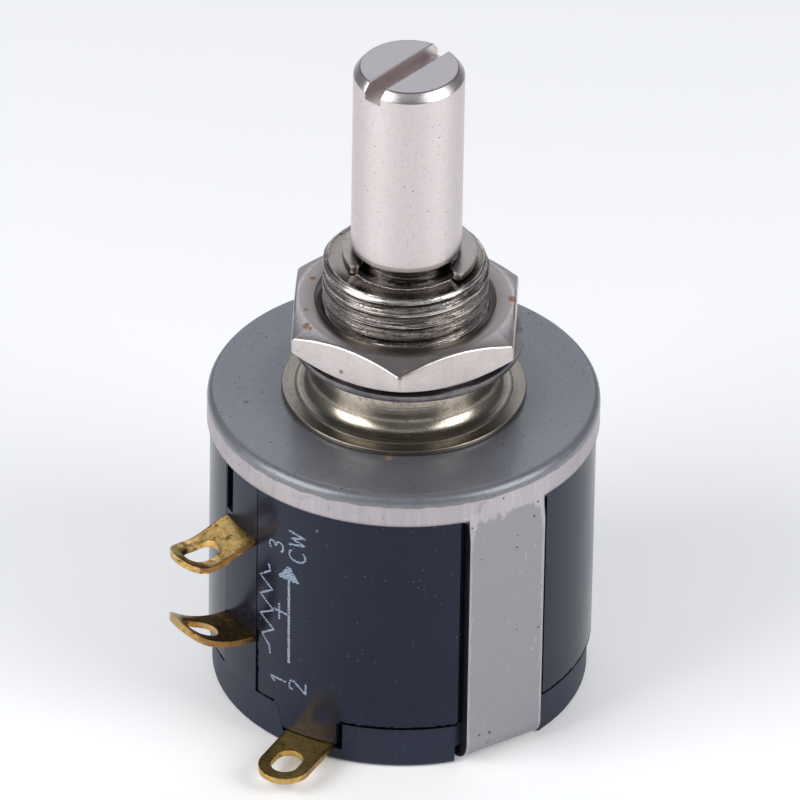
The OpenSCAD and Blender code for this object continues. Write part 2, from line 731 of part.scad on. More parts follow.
// Lock washer with internal teeth
module lock_washer() {
    tip_r = washer_hole_d / 2;
    step = 360 / washer_teeth;
    color("#8f949c")
    translate([washer_shift, 0, washer_z]) linear_extrude(washer_t)
        difference() {
            circle(d = washer_d);
            circle(r = tip_r);
            for (i = [0:washer_teeth - 1]) rotate(i * step)
                translate([0, -0.6]) square([tip_r + tooth_depth, 1.2]);
        }
}

// Hex nut with chamfered corners and a countersunk hole
module hex_nut() {
    flat_r = nut_af / 2 - 0.12;
    reach = nut_corner_r + 1;
    drop = (reach - flat_r) * tan(nut_slope);
    color("#c4bcae")
    translate([0, 0, nut_z])
    difference() {
        intersection() {
            rotate([0, 0, nut_az - 90]) cylinder(r = nut_corner_r, h = nut_t, $fn = 6);
            rotate_extrude() polygon([[0, 0], [flat_r, 0], [reach, drop], [reach, nut_t - drop],
                [flat_r, nut_t], [0, nut_t]]);
        }
        translate([0, 0, -1]) cylinder(r = nut_bore_r, h = nut_t + 2);
        for (end = [0, 1]) translate([0, 0, end * nut_t]) mirror([0, 0, end])
            translate([0, 0, -0.01]) cylinder(r1 = nut_bore_r + nut_sink, r2 = nut_bore_r, h = nut_sink);
    }
}

housing_shell();
front_lid();
bushing();
rear_cover();
terminal_block();
terminal_1();
terminal_2();
terminal_3();
resistance_element();
front_lead();
rear_lead();
collector_brush();
thrust_washer();
shaft();
retaining_ring();
rotor();
slip_ring();
contact_rail();
carriage();
wiper_spring();
wiper_tip();
lock_washer();
hex_nut();
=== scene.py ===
"""Finish and fine detail of a ten-turn rotary potentiometer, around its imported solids."""

import json
import math

import bmesh
import bpy
from bpy.props import FloatProperty, FloatVectorProperty, PointerProperty
from mathutils import Matrix, Vector

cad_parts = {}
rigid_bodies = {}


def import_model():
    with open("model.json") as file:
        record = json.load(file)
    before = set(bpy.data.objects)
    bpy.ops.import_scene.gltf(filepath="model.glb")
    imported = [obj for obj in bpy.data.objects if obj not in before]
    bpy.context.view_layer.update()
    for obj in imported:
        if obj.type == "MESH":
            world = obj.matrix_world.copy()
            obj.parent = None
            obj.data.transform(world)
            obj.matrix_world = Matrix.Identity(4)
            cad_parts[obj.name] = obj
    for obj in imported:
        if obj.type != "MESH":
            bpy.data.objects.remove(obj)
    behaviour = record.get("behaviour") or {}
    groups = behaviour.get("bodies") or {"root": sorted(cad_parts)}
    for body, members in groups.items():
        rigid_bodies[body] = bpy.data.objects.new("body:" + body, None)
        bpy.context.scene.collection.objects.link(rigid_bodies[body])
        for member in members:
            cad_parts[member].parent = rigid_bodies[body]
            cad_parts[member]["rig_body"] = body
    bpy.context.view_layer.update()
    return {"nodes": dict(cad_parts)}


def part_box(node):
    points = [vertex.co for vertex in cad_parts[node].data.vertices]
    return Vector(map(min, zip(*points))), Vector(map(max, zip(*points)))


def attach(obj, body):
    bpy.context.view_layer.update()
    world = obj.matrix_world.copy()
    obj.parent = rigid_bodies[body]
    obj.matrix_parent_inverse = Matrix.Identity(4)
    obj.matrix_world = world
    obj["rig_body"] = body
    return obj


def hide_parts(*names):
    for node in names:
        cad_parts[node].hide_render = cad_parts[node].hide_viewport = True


bl_info = {
    "name": "Rotary potentiometer finish",
    "version": (1, 0, 0),
    "blender": (4, 5, 0),
    "location": "View3D > Sidebar > Potentiometer",
    "description": "Builds the finish and fine detail of a ten-turn potentiometer",
    "category": "Object",
}

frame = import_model()

MM = 0.001
FRONT = -math.pi / 2
SHARP = math.radians(32)

# Directions in degrees from the front, towards +X
BLOCK_AZIMUTH = -56.5
TONGUE_AZIMUTH = -27.5
STRAP_AZIMUTH = 33
NUT_AZIMUTH = -2

# Lengths in mm: heights start at the rear face, the others lie across their azimuth or up the metal
SEAM_ACROSS = 1.66
LOWER_TAB_HEIGHT = 7.2
UPPER_TAB_HEIGHT = 12.9
COVER_HEIGHT = 2.75
LID_HEIGHT = 19.05
RIM_DEPTH = 1.92
STRAP_HALF = 2.55
INK_FACE, INK_BACK = 0.006, -0.02

# Points on the nut and the reach of the rust round each, in mm
RUST_SPOTS = (
    ((-5.31, 1.72, 25.2), 0.3),
    ((-5.66, -1.47, 25.2), 0.26),
    ((-5.64, -2.89, 25.2), 0.34),
    ((-5.4, -3.2, 25.2), 0.2),
    ((6.15, 0.02, 25.2), 0.42),
    ((-3.6, -5.3, 23.6), 0.2),
    ((-2.3, -5.6, 23.3), 0.16),
)

# Stage: colour of the room's light, and the camera's sensor in mm for a picture of that many pixels
SKY = (0.88, 0.92, 1.0)
SENSOR_WIDTH, IMAGE_WIDTH = 36, 800


def size(name, description, value, low, high):
    """A length property in millimetres."""
    return FloatProperty(name=name, description=description, default=value, min=low, max=high)


def tint(name, description, value):
    """A colour property, scene linear."""
    return FloatVectorProperty(
        name=name, description=description, default=value, size=3, subtype="COLOR", min=0, max=1
    )


class PotSizes(bpy.types.PropertyGroup):
    thread_pitch: size("Thread pitch", "Rise of the bushing thread in one turn, mm", 0.79375, 0.5, 1.2)
    thread_depth: size("Thread depth", "Depth of the bushing thread, mm", 0.47, 0.3, 0.6)
    thread_diameter: size("Thread diameter", "Major diameter of the thread, mm", 9.525, 9, 10)
    neck_diameter: size("Neck diameter", "Diameter of the bushing's plain neck, mm", 10.4, 10, 11)
    neck_fillet: size("Neck fillet", "Fillet between neck and collar, mm", 1.0, 0.3, 1.05)
    collar_flat: size("Collar flat", "Width of the flat ring at the collar's edge, mm", 0.75, 0.5, 0.9)
    shoulder_height: size("Shoulder height", "Height of the neck's shoulder above the lid, mm", 3.45, 3, 4)
    nut_width: size("Nut width", "Width of the nut across its flats, mm", 12.7, 12, 14)
    edge_round: size("Edge rounding", "Rounding of stamped and moulded edges, mm", 0.05, 0.01, 0.2)
    stroke: size("Print stroke", "Width of the printed lines, mm", 0.12, 0.05, 0.3)
    print_height: size("Print height", "Height of the printed characters, mm", 1.12, 0.6, 2)


class PotColours(bpy.types.PropertyGroup):
    moulding: tint("Moulding", "Blue-black moulded housing", (0.0062, 0.0082, 0.0185))
    lid_paint: tint("Lid paint", "Blue-grey finish of the lid", (0.165, 0.17, 0.19))
    bare_metal: tint("Bare metal", "Bare metal of rim and strap edges", (0.50, 0.46, 0.48))
    strap_metal: tint("Strap metal", "Matte blue-grey face of the straps", (0.33, 0.32, 0.345))
    nickel: tint("Nickel", "Nickel plating of the bushing", (0.52, 0.46, 0.38))
    thread_metal: tint("Thread metal", "Worn metal of the bushing thread", (0.56, 0.52, 0.49))
    nut_nickel: tint("Nut nickel", "Satin nickel of the nut", (0.62, 0.565, 0.56))
    steel: tint("Steel", "Satin steel of the shaft", (0.655, 0.595, 0.60))
    washer: tint("Washer", "Bluish steel of the lock washer", (0.14, 0.14, 0.165))
    tab_1: tint("Terminal 1", "Bronze-brown flash of terminal 1", (0.52, 0.33, 0.12))
    tab_2: tint("Terminal 2", "Olive-gold flash of terminal 2", (0.64, 0.42, 0.13))
    tab_3: tint("Terminal 3", "Bright gold flash of terminal 3", (0.74, 0.49, 0.17))
    rust: tint("Rust", "Rust spots and copper edges", (0.30, 0.125, 0.035))
    ink: tint("Ink", "Light ink of the printed symbol", (0.26, 0.32, 0.42))
    floor: tint("Floor", "Pale floor under the part", (0.95, 0.95, 0.955))


class PotStage(bpy.types.PropertyGroup):
    elevation: FloatProperty(
        name="Elevation", description="Camera's height angle", default=math.radians(34.33), subtype="ANGLE"
    )
    roll: FloatProperty(
        name="Roll", description="Camera's roll", default=math.radians(0.966), subtype="ANGLE"
    )
    distance: FloatProperty(
        name="Distance", description="Camera's distance", default=0.8, unit="LENGTH", min=0.2, max=3
    )
    pixels_per_mm: FloatProperty(
        name="Scale",
        description="Pixels of an 800 pixel image for one millimetre",
        default=17.414,
        min=1,
        max=40,
    )
    aim: FloatVectorProperty(
        name="Aim",
        description="Point in the middle of the picture",
        default=(-0.000211, 0, 0.01816),
        size=3,
        subtype="TRANSLATION",
        unit="LENGTH",
    )


def sizes():
    return bpy.context.scene.pot_sizes


def colours():
    return bpy.context.scene.pot_colours


class Value:
    """A number or colour socket; arithmetic on numbers adds the Math nodes for it."""

    def __init__(self, finish, socket):
        self.finish, self.socket = finish, socket

    def math(self, operation, *others):
        return self.finish.node(
            "ShaderNodeMath", {"operation": operation}, dict(enumerate((self, *others)))
        )["Value"]

    def __add__(self, other):
        return self.math("ADD", other)

    def __radd__(self, other):
        return self.math("ADD", other)

    def __mul__(self, other):
        return self.math("MULTIPLY", other)

    def __rmul__(self, other):
        return self.math("MULTIPLY", other)

    def __sub__(self, other):
        return self.math("SUBTRACT", other)

    def __rsub__(self, other):
        return (self * -1) + other

    def above(self, level, soft):
        """0 below level, 1 above it, with a soft step of that width."""
        return self.finish.node(
            "ShaderNodeMapRange",
            {"interpolation_type": "SMOOTHSTEP"},
            {"Value": self, "From Min": level - soft / 2, "From Max": level + soft / 2},
        )["Result"]

    def below(self, level, soft):
        """1 below level, 0 above it."""
        return 1 - self.above(level, soft)


class Finish:
    """A procedural material on object coordinates in millimetres."""

    def __init__(self, name, **constants):
        self.material = bpy.data.materials.new(name)
        self.material.use_nodes = True
        self.tree = self.material.node_tree
        self.tree.nodes.clear()
        self.shader = self.tree.nodes.new("ShaderNodeBsdfPrincipled")
        output = self.tree.nodes.new("ShaderNodeOutputMaterial")
        self.tree.links.new(self.shader.outputs["BSDF"], output.inputs["Surface"])
        for key, value in constants.items():
            socket = key.replace("_", " ").title().replace("Ior", "IOR")
            self.shader.inputs[socket].default_value = value
        where = self.node("ShaderNodeTexCoord", {}, {})["Object"]
        self.place = self.node(
            "ShaderNodeVectorMath", {"operation": "SCALE"}, {"Vector": where, "Scale": 1 / MM}
        )["Vector"]

    def node(self, kind, settings, sockets):
        """Adds a node: settings first, then each socket's value or link; returns its outputs by name."""
        made = self.tree.nodes.new(kind)
        for name, value in settings.items():
            setattr(made, name, value)
        for name, value in sockets.items():
            self.feed(made.inputs[name], value)
        return {o.name: Value(self, o) for o in made.outputs if o.enabled}

    def feed(self, socket, value):
        if isinstance(value, Value):
            self.tree.links.new(value.socket, socket)
        else:
            socket.default_value = value

    def part(self, axis):
        """One coordinate of the surface point, in mm."""
        return self.node("ShaderNodeSeparateXYZ", {}, {"Vector": self.place})[axis]

    def along(self, direction):
        """How far the surface point lies along a direction, in mm."""
        return self.node(
            "ShaderNodeVectorMath", {"operation": "DOT_PRODUCT"}, {0: self.place, 1: direction}
        )["Value"]

    def across(self, azimuth):
        """How far the surface point lies to the right, in mm, on the side that faces an azimuth."""
        a = math.radians(azimuth)
        return self.along((math.cos(a), math.sin(a), 0))

    def towards(self, azimuth):
        """How far the surface point lies towards an azimuth, in mm."""
        a = math.radians(azimuth)
        return self.along((math.sin(a), -math.cos(a), 0))

    def spot(self, point, reach):
        """A ragged spot round a point, in mm."""
        away = self.node(
            "ShaderNodeVectorMath", {"operation": "DISTANCE"}, {0: self.place, 1: point}
        )["Value"]
        return (away + self.noise(4.5, 3) * reach).below(reach * 1.2, reach * 0.35)

    def radius(self):
        """Distance from the shaft's axis, in mm."""
        flat = self.node(
            "ShaderNodeVectorMath", {"operation": "MULTIPLY"}, {0: self.place, 1: (1, 1, 0)}
        )["Vector"]
        return self.node("ShaderNodeVectorMath", {"operation": "LENGTH"}, {0: flat})["Value"]

    def stretched(self, factors, turn=(0, 0, 0)):
        """Object coordinates scaled and turned, for features longer one way."""
        return self.node(
            "ShaderNodeMapping", {}, {"Vector": self.place, "Scale": factors, "Rotation": turn}
        )["Vector"]

    def noise(self, scale, detail=3.0, rough=0.55, where=None, twist=0.0):
        """Noise from 0 to 1 with features of about 1/scale mm."""
        return self.node(
            "ShaderNodeTexNoise",
            {},
            {
                "Vector": where or self.place,
                "Scale": scale,
                "Detail": detail,
                "Roughness": rough,
                "Distortion": twist,
            },
        )["Fac"]

    def specks(self, scale, share, soft=0.05):
        """Small round spots about 1/scale mm apart, unevenly scattered; share is the reach of each."""
        sparse = self.noise(scale * 0.37, 2).above(0.56, 0.1)
        away = self.node("ShaderNodeTexVoronoi", {}, {"Vector": self.place, "Scale": scale})["Distance"]
        return away.below(share, soft) * sparse

    def mix(self, mask, low, high):
        """Colour low where mask is 0, high where it is 1."""
        made = self.node("ShaderNodeMix", {"data_type": "RGBA"}, {"Factor": mask})
        node = list(made.values())[0].socket.node
        for name, value in (("A", low), ("B", high)):
            socket = next(s for s in node.inputs if s.name == name and s.type == "RGBA")
            self.feed(socket, value if isinstance(value, Value) else (*value, 1))
        return Value(self, next(s for s in node.outputs if s.type == "RGBA"))

    def bump(self, height, depth):
        """Relief of depth mm."""
        return self.node(
            "ShaderNodeBump", {}, {"Height": height, "Distance": depth * MM, "Strength": 1.0}
        )["Normal"]

    def done(self, colour, roughness, metallic, normal, **others):
        """Feeds the shader's sockets and returns the material."""
        sockets = {"Base Color": colour, "Roughness": roughness, "Metallic": metallic, "Normal": normal}
        for name, value in {**sockets, **others}.items():
            self.feed(self.shader.inputs[name], value)
        return self.material


def shade(colour, factor):
    """A colour made lighter or darker."""
    return tuple(min(1.0, c * factor) for c in colour)


def moulding_finish(name, gloss, lift=1.0, marks=None, shine=0.32):
    """Glossy blue-black moulding with haze, dust and scratches; marks gives a dark mask of grime and
    painted shade, and a mask of pale chips and edges.
    """
    f = Finish(name, specular_ior_level=shine, specular_tint=(0.72, 0.80, 1.0, 1.0))
    base = shade(colours().moulding, lift)
    haze = f.noise(0.35, 4)
    dust = f.specks(2.6, 0.10)
    flecks = f.specks(5.5, 0.13)
    scratch = f.noise(1.0, 2, where=f.stretched((5, 5, 0.4), (0.5, 0.2, 0.3))).below(0.28, 0.05)
    colour = f.mix(haze, shade(base, 0.82), shade(base, 1.25))
    colour = f.mix(scratch * 0.25, colour, shade(base, 6))
    colour = f.mix(flecks * 0.35, colour, (0.055, 0.058, 0.07))
    colour = f.mix(dust * 0.6, colour, (0.15, 0.155, 0.175))
    rough, dirt_and_shade = gloss + haze * 0.12 + dust * 0.3, 0.0
    if marks:
        # The dark mask paints shade into the housing's seam and lower edge, and grime specks onto the
        # cover
        dirt_and_shade, pale = marks(f)
        colour = f.mix(dirt_and_shade, colour, (0.001, 0.001, 0.001))
        colour = f.mix(pale, colour, (0.13, 0.14, 0.165))
        rough = rough + dirt_and_shade * 0.6 + pale * 0.3
    grain = f.noise(14, 3)
    # The dark mask also drives metallic, so the painted shade turns a near-black metal that reflects
    # little
    return f.done(colour, rough, dirt_and_shade, f.bump(grain + haze * 2, 0.004))


def housing_marks(f):
    """Painted shade in the block's right seam and along the housing's lower edge over the rear cover, and
    a pale chip under the rim.
    """
    height, ragged = f.part("Z"), f.noise(3.0, 4, 0.7)
    low = height.below(LOWER_TAB_HEIGHT, 0.4)
    # Painted shade in the seam between block and housing, wider and ragged below the lower tab
    away = f.across(BLOCK_AZIMUTH) - SEAM_ACROSS - (ragged - 0.5) * 0.5 * low
    seam = away.math("ABSOLUTE").below(0.05 + low * 0.15, 0.04) * f.towards(BLOCK_AZIMUTH).above(8, 1)
    # Painted shade along the housing's ragged lower edge over the rear cover, except beside the tongue
    ledge = (height - ragged * 0.42).below(COVER_HEIGHT + 0.01, 0.06)
    tongue = (f.across(TONGUE_AZIMUTH) + 0.27).math("ABSOLUTE").below(2.15, 0.06)
    tongue = tongue * f.towards(TONGUE_AZIMUTH).above(8, 1)
    chip = f.spot((-4.81, -10.02, 15.87), 0.13)
    return seam + ledge * (1 - tongue), chip * 0.9


def cover_marks(f):
    """Small grime specks, and a paler band along the upper edge of the rear cover."""
    edge = (f.part("Z") + f.noise(2.5, 4, 0.7) * 0.12).above(COVER_HEIGHT - 0.01, 0.05)
    return f.specks(3.0, 0.12) * 0.4, edge * 0.30


def lid_finish():
    """Blue-grey coat on the lid's top, bare metal at the rim, matte straps with bare edges."""
    f = Finish("lid_finish", coat_roughness=0.16)
    c = colours()
    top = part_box("front_lid")[1].z / MM
    height, across = f.part("Z"), f.across(STRAP_AZIMUTH).math("ABSOLUTE")

    # Where the coat ends on the rim, and where the strap's matte face begins
    tear = f.noise(0.9, 4, 0.6, where=f.stretched((1, 1, 0.35)))
    teeth = f.noise(1.0, 4, 0.75, where=f.stretched((2.6, 2.6, 0.22)))
    spike = ((across - STRAP_HALF + 1) * 0.95).math("MAXIMUM", 0.0)
    paint = (height + (tear - 0.5) * 0.35).above(top - 0.60, 0.16)
    leg = (height + (teeth - 0.5) * 2.6 + spike * spike * spike * 3.4).below(top - 2.1, 0.14)
    edge = (across + (f.noise(2.4, 3) - 0.5) * 0.3).above(STRAP_HALF - 0.17, 0.08)
    # Painted shade on the straps' side walls, in the gap to the housing
    wall = across.above(STRAP_HALF - 0.03, 0.03) * height.below(top - 1.9, 0.3)

    mottle = f.noise(1.4, 5, 0.6)
    pits = f.specks(1.5, 0.10, 0.03)
    nicks = f.specks(4.2, 0.19, 0.05)
    crumbs = f.noise(6.5, 2, 0.6).above(0.66, 0.05)
    brushed = f.noise(2.2, 4, 0.6, where=f.stretched((1.0, 1.0, 9.0)))
    shear = f.noise(1.0, 4, 0.7, where=f.stretched((4.5, 4.5, 0.25)))
    hairs = f.noise(1.1, 3, 0.6, where=f.stretched((4.0, 4.0, 0.8), (0.3, 0.9, 0.2))).above(0.69, 0.03)
    smear = f.noise(0.8, 4, 0.7, twist=0.5).above(0.62, 0.06)
    stains = f.spot((-9.03, -1.77, LID_HEIGHT), 0.22) + f.spot((-8.13, -0.73, LID_HEIGHT), 0.13)
    fleck = f.spot((-0.8, -7.2, LID_HEIGHT), 0.30)
    dots = f.spot((4.59, -10.16, 1.96), 0.2) + f.spot((5.23, -9.85, 1.88), 0.13)
    dots = dots + f.spot((6.6, -8.98, 14.28), 0.1)

    grey = f.mix(mottle, shade(c.lid_paint, 0.88), shade(c.lid_paint, 1.14))
    grey = f.mix(f.noise(0.28, 3) * 0.4, grey, shade(c.lid_paint, 1.22))
    # Painted shade round the collar: the coat darker within about 8 mm of the axis
    grey = f.mix(f.radius().below(8.2, 1.6) * 0.35, grey, shade(c.lid_paint, 0.55))
    grey = f.mix(nicks * 0.85, grey, shade(c.lid_paint, 0.3))
    grey = f.mix(crumbs * 0.6, grey, shade(c.lid_paint, 0.40))
    grey = f.mix(stains * 0.7, grey, (0.07, 0.035, 0.02))
    grey = f.mix(fleck * 0.85, grey, (0.36, 0.24, 0.15))
    bare = f.mix(shear, shade(c.bare_metal, 0.70), shade(c.bare_metal, 1.12))
    bare = f.mix(smear * 0.35, bare, shade(c.strap_metal, 0.75))
    strap = f.mix(brushed, shade(c.strap_metal, 0.84), shade(c.strap_metal, 1.08))
    strap = f.mix(hairs * 0.5, strap, (0.60, 0.50, 0.49))
    strap = f.mix(dots * 0.8, strap, (0.05, 0.035, 0.03))
    metal = f.mix(leg * (1 - edge * 0.75), bare, strap)
    # Painted shade: the straps' side walls near black
    metal = f.mix(wall, metal, (0.03, 0.028, 0.035))
    colour = f.mix(paint, metal, grey)
    colour = f.mix(paint * (1 - paint) * 2.2, colour, shade(c.lid_paint, 0.6))
    colour = f.mix(pits * 0.85, colour, (0.02, 0.02, 0.022))
    rough = 0.34 + brushed * 0.10 + mottle * 0.10 - paint * 0.04 + leg * 0.06
    relief = f.bump(brushed * 0.4 + tear * 0.5 + mottle * 0.5 + shear * 0.3 - pits * 1.5 - nicks, 0.014)
    return f.done(colour, rough, 0.9 - paint * 0.5, relief, **{"Coat Weight": paint * 0.45})


def turned_finish():
    """Turned and plated bushing: lathe lines, a worn streaky thread and a bright burr at the bore."""
    f = Finish("turned_finish")
    c, s = colours(), sizes()
    lid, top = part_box("front_lid")[1].z / MM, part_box("bushing")[1].z / MM
    shoulder, major = lid + s.shoulder_height, s.thread_diameter / 2
    height, radius = f.part("Z"), f.radius()

    def lines(pitch, waver):
        """Noise in lines round the axis, that changes slowly along them."""
        ringed = f.node("ShaderNodeCombineXYZ", {}, {"X": radius * pitch, "Y": height * pitch})["Vector"]
        slow = f.stretched((waver, waver, waver))
        where = f.node("ShaderNodeVectorMath", {"operation": "ADD"}, {0: ringed, 1: slow})["Vector"]
        return f.noise(1.0, 3, 0.7, where=where)

    fine, streak = lines(9, 0.25), lines(9, 0.5)
    patch = f.noise(0.8, 4, 0.6)
    grime = f.noise(3.2, 4, 0.7).above(0.62, 0.16)
    pits = f.specks(3.6, 0.12, 0.04)
    sparkle = f.specks(5.0, 0.10, 0.04)
    colour = f.mix(fine, shade(c.nickel, 0.66), shade(c.nickel, 1.22))
    colour = f.mix(patch.above(0.5, 0.4) * 0.45, colour, shade(c.nickel, 0.5))
    colour = f.mix(grime * 0.35, colour, (0.10, 0.075, 0.045))
    # Painted dark reflection: the fillet and collar darker outwards from the neck
    colour = f.mix(radius.above(5.45, 0.45) * 0.64, colour, shade(c.nickel, 0.30))
    # Painted shadow under the washer: the top 0.8 mm of the neck darkened
    colour = f.mix(height.above(shoulder - 0.8, 0.35) * 0.75, colour, shade(c.nickel, 0.12))
    ring_line = (radius - 6.05).math("ABSOLUTE").below(0.035, 0.03)
    colour = f.mix(ring_line * 0.25, colour, shade(c.thread_metal, 1.35))
    thread = height.above(shoulder + 0.02, 0.04)
    valley = radius.below(major - s.thread_depth * 0.72, s.thread_depth * 0.5)
    worn = f.mix(streak.above(0.5, 0.30), shade(c.thread_metal, 0.22), shade(c.thread_metal, 1.45))
    worn = f.mix(f.noise(2.4, 4, 0.7).above(0.60, 0.10) * 0.5, worn, (0.16, 0.085, 0.05))
    # Painted shade in the thread's valleys
    worn = f.mix(valley * 0.8, worn, (0.05, 0.04, 0.035))
    end = height.above(top - 0.16, 0.1) * radius.below(major - 0.42, 0.1)
    worn = f.mix(end * 0.8, worn, f.mix(fine, (0.22, 0.18, 0.15), (0.42, 0.37, 0.33)))
    burr = height.above(top - 0.3, 0.1) * (radius + (f.noise(2.6, 4, 0.7) - 0.5) * 0.34).below(3.44, 0.06)
    worn = f.mix(burr, worn, (0.86, 0.83, 0.82))
    colour = f.mix(thread, colour, worn)
    colour = f.mix(pits * 0.8, colour, (0.03, 0.022, 0.018))
    colour = f.mix(sparkle * 0.5, colour, (0.85, 0.8, 0.72))
    relief = f.bump(fine * 0.8 + thread * streak * 2 + patch * 0.3 - pits + burr * 2, 0.010)
    rough = 0.19 + fine * 0.08 + grime * 0.15 + radius.above(5.7, 0.5) * 0.10
    return f.done(colour, rough, 1.0, relief)


def plated_finish(name, base, rough, rust, spots=(), top=None):
    """Satin plated steel with fine grain, small pits and a little rust; above top, painted shade darkens
    the top face and a painted dark reflection lies round the bore.
    """
    f = Finish(name)
    mottle = f.noise(2.6, 5, 0.65)
    fine = f.noise(8, 3, 0.7)
    grain = f.noise(16, 2, 0.6)
    pits = f.specks(2.2, 0.09, 0.04)
    dots = f.noise(7.5, 2, 0.5).above(0.72, 0.04)
    rusty = f.noise(1.7, 4, 0.7, twist=0.6).above(0.70, 0.05)
    for point, reach in spots:
        rusty = rusty + f.spot(point, reach)
    colour = f.mix(mottle, shade(base, 0.88), shade(base, 1.10))
    colour = f.mix((fine - 0.5) * 1.8 + 0.5, shade(base, 0.76), colour)
    colour = f.mix(f.noise(0.9, 5, 0.7).above(0.5, 0.3) * 0.35, colour, (0.40, 0.34, 0.29))
    colour = f.mix(dots * 0.4, colour, shade(base, 0.4))
    if top:
        # Painted shade on the top face, and a painted dark reflection of the thread round the bore
        face = f.part("Z").above(top - 0.06, 0.08)
        near = f.radius().below(5.9, 1.6)
        colour = f.mix(face * 0.6, colour, shade(base, 0.45))
        colour = f.mix(face * near * 0.7, colour, (0.15, 0.125, 0.10))
    colour = f.mix(rusty * rust, colour, colours().rust)
    colour = f.mix(pits * 0.85, colour, (0.03, 0.025, 0.02))
    relief = f.bump(grain * 0.5 + fine * 0.7 + mottle - pits * 1.5, 0.006)
    return f.done(colour, rough + mottle * 0.12 + rusty * rust * 0.3, 1.0 - rusty * rust * 0.6, relief)


def shaft_finish():
    """Satin steel with a dark groove of painted shade under the shaft's working length."""
    f = Finish("shaft_finish")
    c = colours()
    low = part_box("bushing")[1].z / MM
    height, radius = f.part("Z"), f.radius()
    mottle, fine, grain = f.noise(2.6, 5, 0.65), f.noise(8, 3, 0.7), f.noise(16, 2, 0.6)
    pits = f.specks(2.0, 0.10, 0.04)
    dots = f.noise(7.5, 2, 0.5).above(0.66, 0.04)
    colour = f.mix(fine, shade(c.steel, 0.78), shade(c.steel, 1.16))
    colour = f.mix(mottle.above(0.5, 0.5) * 0.3, colour, (0.62, 0.52, 0.47))
    colour = f.mix(dots * 0.35, colour, shade(c.steel, 0.42))
    colour = f.mix(pits * 0.7, colour, (0.05, 0.035, 0.03))
    # Painted shade in the groove above the bushing, crossed by lighter streaks
    groove = radius.below(3.0, 0.08) * height.below(low + 2, 0.1)
    lines = f.noise(1.0, 3, 0.7, where=f.stretched((0.5, 0.5, 14)))
    end = height.above(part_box("shaft")[1].z / MM - 0.06, 0.04)
    colour = f.mix(end, colour, f.mix(fine, shade(c.steel, 0.55), shade(c.steel, 0.72)))
    shaded_groove = f.mix(lines.above(0.58, 0.1), (0.02, 0.017, 0.015), (0.5, 0.46, 0.42))
    colour = f.mix(groove * 0.93, colour, shaded_groove)
    worn = height.below(low + 1.25, 0.08) * (1 - groove)
    colour = f.mix(worn * 0.5, colour, (0.13, 0.11, 0.10))
    relief = f.bump(grain * 0.5 + fine * 0.7 + mottle - pits * 1.5, 0.007)
    return f.done(colour, 0.24 + mottle * 0.14, 1.0, relief)


def tab_finish(name, base, azimuth, stained, worn_edge):
    """Gold flashed tab with brown patina, dark spots and reddish edges."""
    f = Finish(name)
    across = f.across(azimuth).math("ABSOLUTE")
    patch = f.noise(1.3, 4, 0.65)
    stain = f.noise(2.0, 5, 0.7, twist=0.4).above(0.60, 0.12)
    spots = f.specks(3.0, 0.22, 0.08)
    grit = f.noise(7, 3, 0.7).above(0.66, 0.06)
    brown = f.noise(3.5, 5, 0.75).above(0.52, 0.2)
    colour = f.mix(patch, shade(base, 0.62), shade(base, 1.26))
    colour = f.mix(brown * stained * 0.6, colour, (0.30, 0.17, 0.055))
    colour = f.mix(stain * stained, colour, (0.15, 0.08, 0.03))
    colour = f.mix(grit * 0.5, colour, (0.10, 0.05, 0.025))
    colour = f.mix(spots * 0.75, colour, (0.035, 0.02, 0.012))
    edge = (across + (f.noise(3.2, 4, 0.7) - 0.5) * 0.9).above(1.42, 0.08)
    colour = f.mix(edge * worn_edge, colour, (0.20, 0.085, 0.04))
    relief = f.bump(patch + stain * 0.5 + grit * 0.5, 0.012)
    return f.done(colour, 0.25 + stain * 0.22 + patch * 0.08, 1.0, relief)


def ink_finish():
    """Light stamped ink, laid in slanting hatch lines and broken up where it missed."""
    f = Finish("ink_finish")
    missed = f.noise(9, 4, 0.75)
    hatch = f.along((-27, 0, 33)).math("SINE")
    colour = f.mix(missed, shade(colours().ink, 0.7), shade(colours().ink, 1.3))
    cover = (hatch * 0.13 + missed).above(0.38, 0.14)
    return f.done(colour, 0.6, 0.0, f.bump(missed, 0.004), Alpha=cover)


def inner_finish(name, base, metallic, rough, line):
    """Finish of the parts inside, with moulding or winding texture."""
    f = Finish(name)
    mottle = f.noise(1.5, 4)
    fine = f.noise(line, 3, 0.6)
    colour = f.mix(mottle * 0.6 + fine * 0.4, shade(base, 0.72), shade(base, 1.25))
    return f.done(colour, rough + fine * 0.12, metallic, f.bump(fine, 0.008))


def keep_mesh(bm, mesh):
    """Writes a bmesh into a mesh, with smooth faces and sharp edges kept."""
    bm.to_mesh(mesh)
    bm.free()
    mesh.shade_smooth()
    mesh.set_sharp_from_angle(angle=SHARP)


def new_piece(name, bm, material):
    """Turns a bmesh into a scene object."""
    mesh = bpy.data.meshes.new(name)
    keep_mesh(bm, mesh)
    mesh.materials.append(material)
    piece = bpy.data.objects.new(name, mesh)
    bpy.context.scene.collection.objects.link(piece)
    return piece


def dress(node, piece):
    """Lets a piece stand for a CAD node on the node's own body."""
    body = frame["nodes"][node]["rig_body"]
    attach(piece, body)
    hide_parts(node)


def softened(node, name, material, width):
    """A copy of a node's shape with its edges rounded by width mm."""
    bm = bmesh.new()
    bm.from_mesh(frame["nodes"][node].data)
    bmesh.ops.remove_doubles(bm, verts=bm.verts, dist=0.0005 * MM)
    bmesh.ops.dissolve_limit(bm, angle_limit=math.radians(0.6), verts=bm.verts, edges=bm.edges)
    sharp = [e for e in bm.edges if len(e.link_faces) == 2 and e.calc_face_angle(0) > SHARP]
    bmesh.ops.bevel(
        bm,
        geom=sharp,
        offset=width * MM,
        offset_type="OFFSET",
        segments=2,
        profile=0.6,
        affect="EDGES",
        clamp_overlap=True,
    )
    piece = new_piece(name, bm, material)
    even = piece.modifiers.new("even shading", "WEIGHTED_NORMAL")
    even.keep_sharp = True
    dress(node, piece)
    return piece


